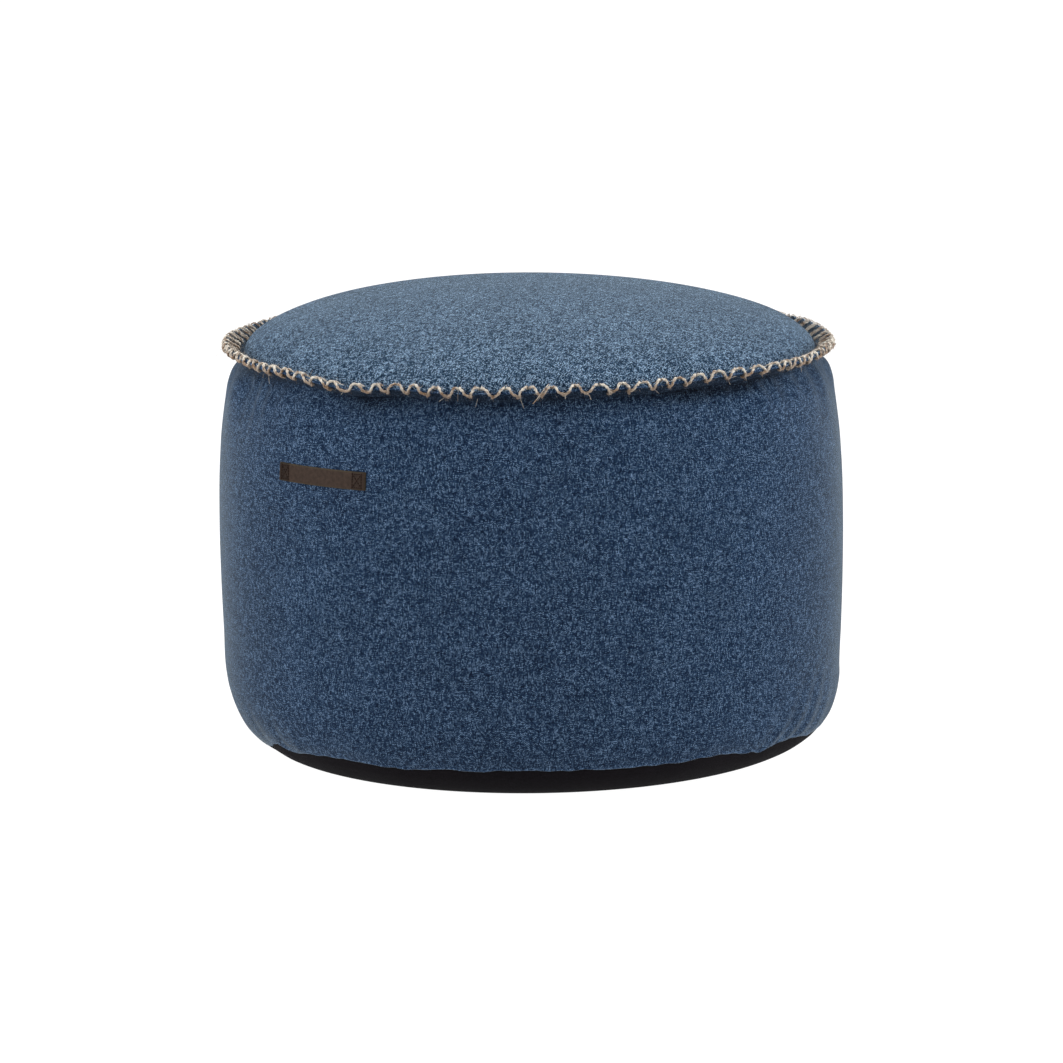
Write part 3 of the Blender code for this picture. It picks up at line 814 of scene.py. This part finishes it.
def plied_yarn_tree():
    """Two plies twisted round a line, each uneven along its length.

    They are thinner towards the back of the drum and thicker at its far left.
    """
    tree, given = new_tree("plied_yarn", (
        ("Ply radius", "Float"), ("Ply offset", "Float"), ("Twist length", "Float"),
        ("Sides", "Int"), ("Seed", "Float"), ("Material", "Material"),
    ))
    line = node(tree, "GeometryNodeMeshToCurve", {"Mesh": given["Geometry"]})
    run = node(tree, "GeometryNodeSplineParameter").outputs["Length"]
    normal = node(tree, "GeometryNodeInputNormal").outputs[0]
    tangent = node(tree, "GeometryNodeInputTangent").outputs[0]
    side = node(tree, "ShaderNodeVectorMath", {0: tangent, 1: normal}, operation="CROSS_PRODUCT").outputs[0]
    turns = figure(tree, "DIVIDE", run, given["Twist length"])
    spot = node(tree, "ShaderNodeSeparateXYZ", {0: node(tree, "GeometryNodeInputPosition").outputs[0]})
    slim = mapped(tree, spot.outputs[1], -0.12, 0.06, 1.0, 0.50)
    full = mapped(tree, spot.outputs[0], -0.26, -0.10, 1.24, 1.0)
    slim = figure(tree, "MULTIPLY", slim, full)
    joined = node(tree, "GeometryNodeJoinGeometry")
    for start in (0.0, 0.5):
        phase = figure(tree, "MULTIPLY", figure(tree, "ADD", turns, start), 2 * math.pi)
        one = scaled(tree, normal, figure(tree, "COSINE", phase))
        two = scaled(tree, side, figure(tree, "SINE", phase))
        arm = node(tree, "ShaderNodeVectorMath", {0: one, 1: two}, operation="ADD").outputs[0]
        arm = scaled(tree, arm, given["Ply offset"])
        ply = node(tree, "GeometryNodeSetPosition", {"Geometry": line.outputs[0], "Offset": arm})
        seed = figure(tree, "ADD", given["Seed"], start * 97)
        swell = node(tree, "ShaderNodeTexNoise", {
            "W": figure(tree, "ADD", figure(tree, "MULTIPLY", run, 160.0), seed), "Scale": 1.0, "Detail": 2.0,
        }, noise_dimensions="1D").outputs[0]
        swell = figure(tree, "ADD", 0.55, figure(tree, "MULTIPLY", swell, 0.9))
        wide = figure(tree, "MULTIPLY", figure(tree, "MULTIPLY", given["Ply radius"], swell), slim)
        ply = node(tree, "GeometryNodeSetCurveRadius", {"Curve": ply.outputs[0], "Radius": wide})
        ring = node(tree, "GeometryNodeCurvePrimitiveCircle", {"Resolution": given["Sides"], "Radius": 1.0})
        skin = node(tree, "GeometryNodeCurveToMesh", {
            "Curve": ply.outputs[0], "Profile Curve": ring.outputs[0], "Fill Caps": True,
        })
        if "Scale" in skin.inputs:
            wire(skin, {"Scale": wide})
        wire(joined, {0: skin.outputs[0]})
    return end_tree(tree, joined, given["Material"])


def fuzz_tree():
    """Short bent fibres that stand off a line in all directions."""
    tree, given = new_tree("yarn_fuzz", (
        ("Spacing", "Float"), ("Length", "Float"), ("Thickness", "Float"), ("Yarn radius", "Float"),
        ("Seed", "Int"), ("Material", "Material"),
    ))
    dots = dots_along(tree, given, "Spacing")
    whirl = node(tree, "FunctionNodeRandomValue", {
        "Min": (-1.0, -1.0, -1.0), "Max": (1.0, 1.0, 1.0), "Seed": given["Seed"],
    }, data_type="FLOAT_VECTOR").outputs[0]
    lean = scaled(tree, dots.outputs["Tangent"], 0.9)
    aim = node(tree, "ShaderNodeVectorMath", {0: whirl, 1: lean}, operation="ADD").outputs[0]
    aim = node(tree, "ShaderNodeVectorMath", {0: aim}, operation="NORMALIZE").outputs[0]
    turned = node(tree, "FunctionNodeAlignRotationToVector", {"Vector": aim}, axis="Z").outputs[0]
    start = scaled(tree, aim, given["Yarn radius"])
    dots = node(tree, "GeometryNodeSetPosition", {"Geometry": dots.outputs[0], "Offset": start})
    arc = node(tree, "GeometryNodeCurvePrimitiveBezierSegment", {
        "Resolution": 3, "Start": (0.0, 0.0, 0.0), "Start Handle": (0.0, 0.05, 0.45),
        "End Handle": (0.1, 0.3, 0.8), "End": (0.25, 0.5, 0.9),
    })
    ring = node(tree, "GeometryNodeCurvePrimitiveCircle", {"Resolution": 3, "Radius": given["Thickness"]})
    fibre = node(tree, "GeometryNodeCurveToMesh", {
        "Curve": arc.outputs[0], "Profile Curve": ring.outputs[0], "Fill Caps": False,
    })
    reach = node(tree, "FunctionNodeRandomValue", {2: 0.25, 3: 1.0, "Seed": given["Seed"]}, data_type="FLOAT")
    reach = figure(tree, "MULTIPLY", reach.outputs[1], given["Length"])
    size = node(tree, "ShaderNodeCombineXYZ", {0: given["Length"], 1: reach, 2: reach}).outputs[0]
    placed = node(tree, "GeometryNodeInstanceOnPoints", {
        "Points": dots.outputs[0], "Instance": fibre.outputs[0], "Rotation": turned, "Scale": size,
    })
    return end_tree(tree, placed, given["Material"])


def blend(tree, share, first, second):
    """A colour between two."""
    mix = node(tree, "ShaderNodeMix", {0: share, 6: (*first, 1), 7: (*second, 1)}, data_type="RGBA")
    return mix.outputs[2]


def natural_wool(name, cream, brown):
    """Undyed wool, cream and brown at random, with painted shade: browner and darker where it lies low under
    the edge.
    """
    material, tree, shader = new_material(name)
    spot = node(tree, "ShaderNodeTexCoord").outputs["Object"]
    tone = mapped(tree, noise(tree, spot, 150.0, 3.0, 0.65), 0.36, 0.62)
    under = node(tree, "ShaderNodeAttribute", attribute_name="under").outputs["Fac"]
    # Painted shade: the tone falls towards brown where the yarn lies under the edge.
    tone = figure(tree, "MULTIPLY", tone, mapped(tree, under, 0.2, 1.0, 1.0, 0.25))
    wire(shader, {
        "Base Color": blend(tree, tone, brown, cream), "Roughness": 0.9, "Specular IOR Level": 0.2,
        "Sheen Weight": 0.25, "Sheen Roughness": 0.5,
    })
    return material


wool = natural_wool("natural_wool", (0.450, 0.420, 0.365), (0.120, 0.070, 0.038))
plies = plied_yarn_tree()
yarn_line = drawn_line(knots, YARN_STEP)
print("yarn", round(len(yarn_line) * YARN_STEP, 2), "m")
yarn_line, yarn_under = yarn_line[:, :3], yarn_line[:, 3]
yarn = grown(thread_mesh("edge_yarn_plies", [yarn_line], True, yarn_under), plies, {
    "Ply radius": PLY_RADIUS, "Ply offset": PLY_OFFSET, "Twist length": TWIST,
    "Sides": 5, "Seed": 3.0, "Material": wool,
})
fuzz = grown(thread_mesh("edge_yarn_fuzz", [yarn_line], True, yarn_under), fuzz_tree(), {
    "Spacing": 0.0006, "Length": 0.0040, "Thickness": 0.014, "Yarn radius": 0.0010,
    "Seed": 5, "Material": wool,
})

# One yarn end was left loose in front, and single hairs have worked free. Each
# point is an angle in degrees, a radius and a height.
LOOSE_END = (
    (3.4, 0.2905, 0.3950), (2.9, 0.2928, 0.3925), (2.2, 0.2948, 0.3885), (1.6, 0.2956, 0.3845),
    (1.0, 0.2955, 0.3805), (0.5, 0.2950, 0.3775),
)
turn, radius, height = np.array(LOOSE_END).T
turn = np.radians(turn)
tail = np.column_stack([radius * np.sin(turn), -radius * np.cos(turn), height])
tail_run = np.linspace(0, len(tail) - 1, 16)
tail = np.column_stack([np.interp(tail_run, np.arange(len(tail)), tail[:, k]) for k in range(3)])
loose = grown(thread_mesh("loose_yarn_end", [tail], under=[0.3] * len(tail)), plies, {
    "Ply radius": 0.00026, "Ply offset": 0.00021, "Twist length": TWIST,
    "Sides": 5, "Seed": 8.0, "Material": wool,
})
STRAY_HAIRS = 110
HAIR_POINTS = 7
strays = []
for stray in range(STRAY_HAIRS):
    root = yarn_line[chance.integers(len(yarn_line))]
    flat = np.array([root[0], root[1], 0.0]) / np.hypot(root[0], root[1])
    beside = np.array([-flat[1], flat[0], 0.0])
    heading = 0.5 * flat + chance.uniform(-1, 1) * beside + np.array([0, 0, chance.uniform(-0.9, 0.5)])
    heading /= np.linalg.norm(heading)
    bend = chance.normal(size=3) * 0.5 - np.array([0, 0, 0.35])
    length = chance.uniform(0.003, 0.0085)
    t = np.linspace(0, 1, HAIR_POINTS)[:, None]
    strays.append(root + length * (heading * t + bend * t**2 * 0.6))
hairs = grown(thread_mesh("stray_hairs", strays, under=[0.1] * HAIR_POINTS * STRAY_HAIRS), plies, {
    "Ply radius": 0.00011, "Ply offset": 0.00006, "Twist length": TWIST,
    "Sides": 3, "Seed": 2.0, "Material": wool,
})
for piece in (yarn, fuzz, loose, hairs):
    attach(piece, "root")
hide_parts("edge_yarn")


# ------------------------------------------------------------------ the label
# A short strip of dark brown grained leather, its cut edges rubbed paler. It
# follows the drum's curve and is sewn at each end with a crossed box.
LABEL_ANGLE = math.radians(-41.2)
LABEL_HEIGHT = 0.2970
LABEL_RAISE = 0.0022
LABEL_LEAN = 0.015
LABEL_LENGTH = 0.1100
LABEL_WIDTH = 0.0170
LABEL_THICK = 0.0015
LABEL_CLEAR = 0.0005


def on_side(run, rise, lift):
    """Points that far along and up from the label's middle, lifted off the drum."""
    run, rise = np.broadcast_arrays(np.asarray(run, float), np.asarray(rise, float))
    angle = LABEL_ANGLE + run / BODY_RADIUS
    height = LABEL_HEIGHT + LABEL_RAISE + LABEL_LEAN * run + rise
    table = np.array(SIDE_STATIONS)
    radius = np.interp(height, table[:, 0], table[:, 1])
    radius = radius - np.interp(height, table[:, 0], table[:, 3]) * GATHER_DEPTH * gather(angle)
    radius = radius + LABEL_CLEAR + lift
    return np.stack([radius * np.sin(angle), -radius * np.cos(angle), height], axis=-1)


strip = np.linspace(-1, 1, 111) * LABEL_LENGTH / 2
profile = [(-1.0, 0.0), (-1.0, 0.55), (-0.985, 0.82), (-0.95, 0.97)]
profile += [(share, 1.0) for share in np.linspace(-0.9, 0.9, 15)]
profile += [(0.95, 0.97), (0.985, 0.82), (1.0, 0.55), (1.0, 0.0), (0.5, 0.0), (0.0, 0.0), (-0.5, 0.0)]
profile = np.array(profile)
rise = profile[:, 0] * LABEL_WIDTH / 2
lift = profile[:, 1] * LABEL_THICK
from_end = np.clip((LABEL_LENGTH / 2 - np.abs(strip)) / 0.0012, 0, 1)
shrink = 1 - 0.05 * (1 - from_end) ** 2
grid = on_side(
    strip[:, None], rise[None] * shrink[:, None],
    lift[None] * (0.55 + 0.45 * np.sqrt(1 - (1 - from_end[:, None]) ** 2)),
)
count, around = grid.shape[:2]
index, _, quads = ring_quads(count, around)
faces = quads[:, [0, 3, 2, 1]].tolist() + [index[0].tolist(), index[-1][::-1].tolist()]
mesh = bpy.data.meshes.new("leather_label")
mesh.from_pydata(grid.reshape(-1, 3).tolist(), [], faces)
uv_of = np.stack(np.broadcast_arrays(strip[:, None], rise[None]), axis=-1).reshape(-1, 2)
pattern = mesh.uv_layers.new(name="cut")
corner_of = np.zeros(len(mesh.loops), np.int32)
mesh.loops.foreach_get("vertex_index", corner_of)
pattern.data.foreach_set("uv", uv_of[corner_of].astype(np.float32).ravel())
mesh.shade_smooth()
mesh.set_sharp_from_angle(angle=math.radians(60))
label = put("leather_label", mesh)


def grained_leather(name, hide, rim):
    """Dark grained hide, paler along its cut edge and darker where its ends are sewn down."""
    material, tree, shader = new_material(name)
    cut = node(tree, "ShaderNodeUVMap", uv_map="cut").outputs[0]
    place = node(tree, "ShaderNodeSeparateXYZ", {0: cut})
    in_side = figure(tree, "SUBTRACT", LABEL_WIDTH / 2, figure(tree, "ABSOLUTE", place.outputs[1]))
    in_end = figure(tree, "SUBTRACT", LABEL_LENGTH / 2, figure(tree, "ABSOLUTE", place.outputs[0]))
    inside = figure(tree, "MINIMUM", in_side, in_end)
    paler_and_painted_shade = mapped(tree, inside, 0.0004, 0.0016, 1.0, 0.0)
    tone = mapped(tree, noise(tree, cut, 260.0, 4.0), 0.3, 0.7, 0.72, 1.3)
    deep = mapped(tree, place.outputs[0], -0.01, 0.01, 0.60, 0.80)
    tone = figure(tree, "MULTIPLY", tone, mapped(tree, in_end, 0.0140, 0.0165, deep, 1.0))
    grain = node(tree, "ShaderNodeTexVoronoi", {"Vector": cut, "Scale": 900.0}).outputs["Distance"]
    bump = node(tree, "ShaderNodeBump", {"Height": grain, "Strength": 0.6, "Distance": 0.0002})
    wire(shader, {
        "Base Color": scaled(tree, blend(tree, paler_and_painted_shade, hide, rim), tone), "Normal": bump.outputs[0],
        "Roughness": 0.55, "Specular IOR Level": 0.05,
    })
    return material


label.data.materials.append(grained_leather("brown_leather", (0.0228, 0.0143, 0.0104), (0.030, 0.023, 0.015)))
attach(label, "root")
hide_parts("label")


def stitch_tree():
    """Short thread stitches laid end to end along lines."""
    tree, given = new_tree("label_stitches", (
        ("Stitch length", "Float"), ("Thread radius", "Float"), ("Material", "Material"),
    ))
    dots = dots_along(tree, given, "Stitch length")
    bead = node(tree, "GeometryNodeMeshUVSphere", {"Segments": 6, "Rings": 5, "Radius": 1.0})
    long = figure(tree, "MULTIPLY", given["Stitch length"], 0.46)
    radius = given["Thread radius"]
    size = node(tree, "ShaderNodeCombineXYZ", {0: radius, 1: radius, 2: long})
    turned = node(tree, "FunctionNodeAlignRotationToVector", {"Vector": dots.outputs["Tangent"]}, axis="Z")
    placed = node(tree, "GeometryNodeInstanceOnPoints", {
        "Points": dots.outputs[0], "Instance": bead.outputs[0],
        "Rotation": turned.outputs[0], "Scale": size.outputs[0],
    })
    return end_tree(tree, placed, given["Material"])


BOX_LONG, BOX_HIGH = 0.0100, 0.0125
BOX_MARGIN = 0.0045
lines = []
for sign in (-1, 1):
    outer = sign * (LABEL_LENGTH / 2 - BOX_MARGIN)
    inner = outer - sign * BOX_LONG
    half = BOX_HIGH / 2
    box = [(outer, -half), (outer, half), (inner, half), (inner, -half), (outer, -half)]
    crosses = [[(outer, -half), (inner, half)], [(outer, half), (inner, -half)]]
    for path in [box[k:k + 2] for k in range(4)] + crosses:
        (x0, y0), (x1, y1) = path
        t = np.linspace(0, 1, 9)
        lines.append(on_side(x0 + (x1 - x0) * t, y0 + (y1 - y0) * t, LABEL_THICK + 0.0002))

cotton, tree, shader = new_material("label_thread")
fray = noise(tree, node(tree, "ShaderNodeTexCoord").outputs["Object"], 900.0, 2.0)
wire(shader, {
    "Base Color": blend(tree, fray, (0.0060, 0.0026, 0.0017), (0.017, 0.007, 0.004)),
    "Roughness": 0.7, "Specular IOR Level": 0.08,
})
thread = grown(thread_mesh("label_thread", lines), stitch_tree(), {
    "Stitch length": 0.0024, "Thread radius": 0.00052, "Material": cotton,
})
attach(thread, "root")
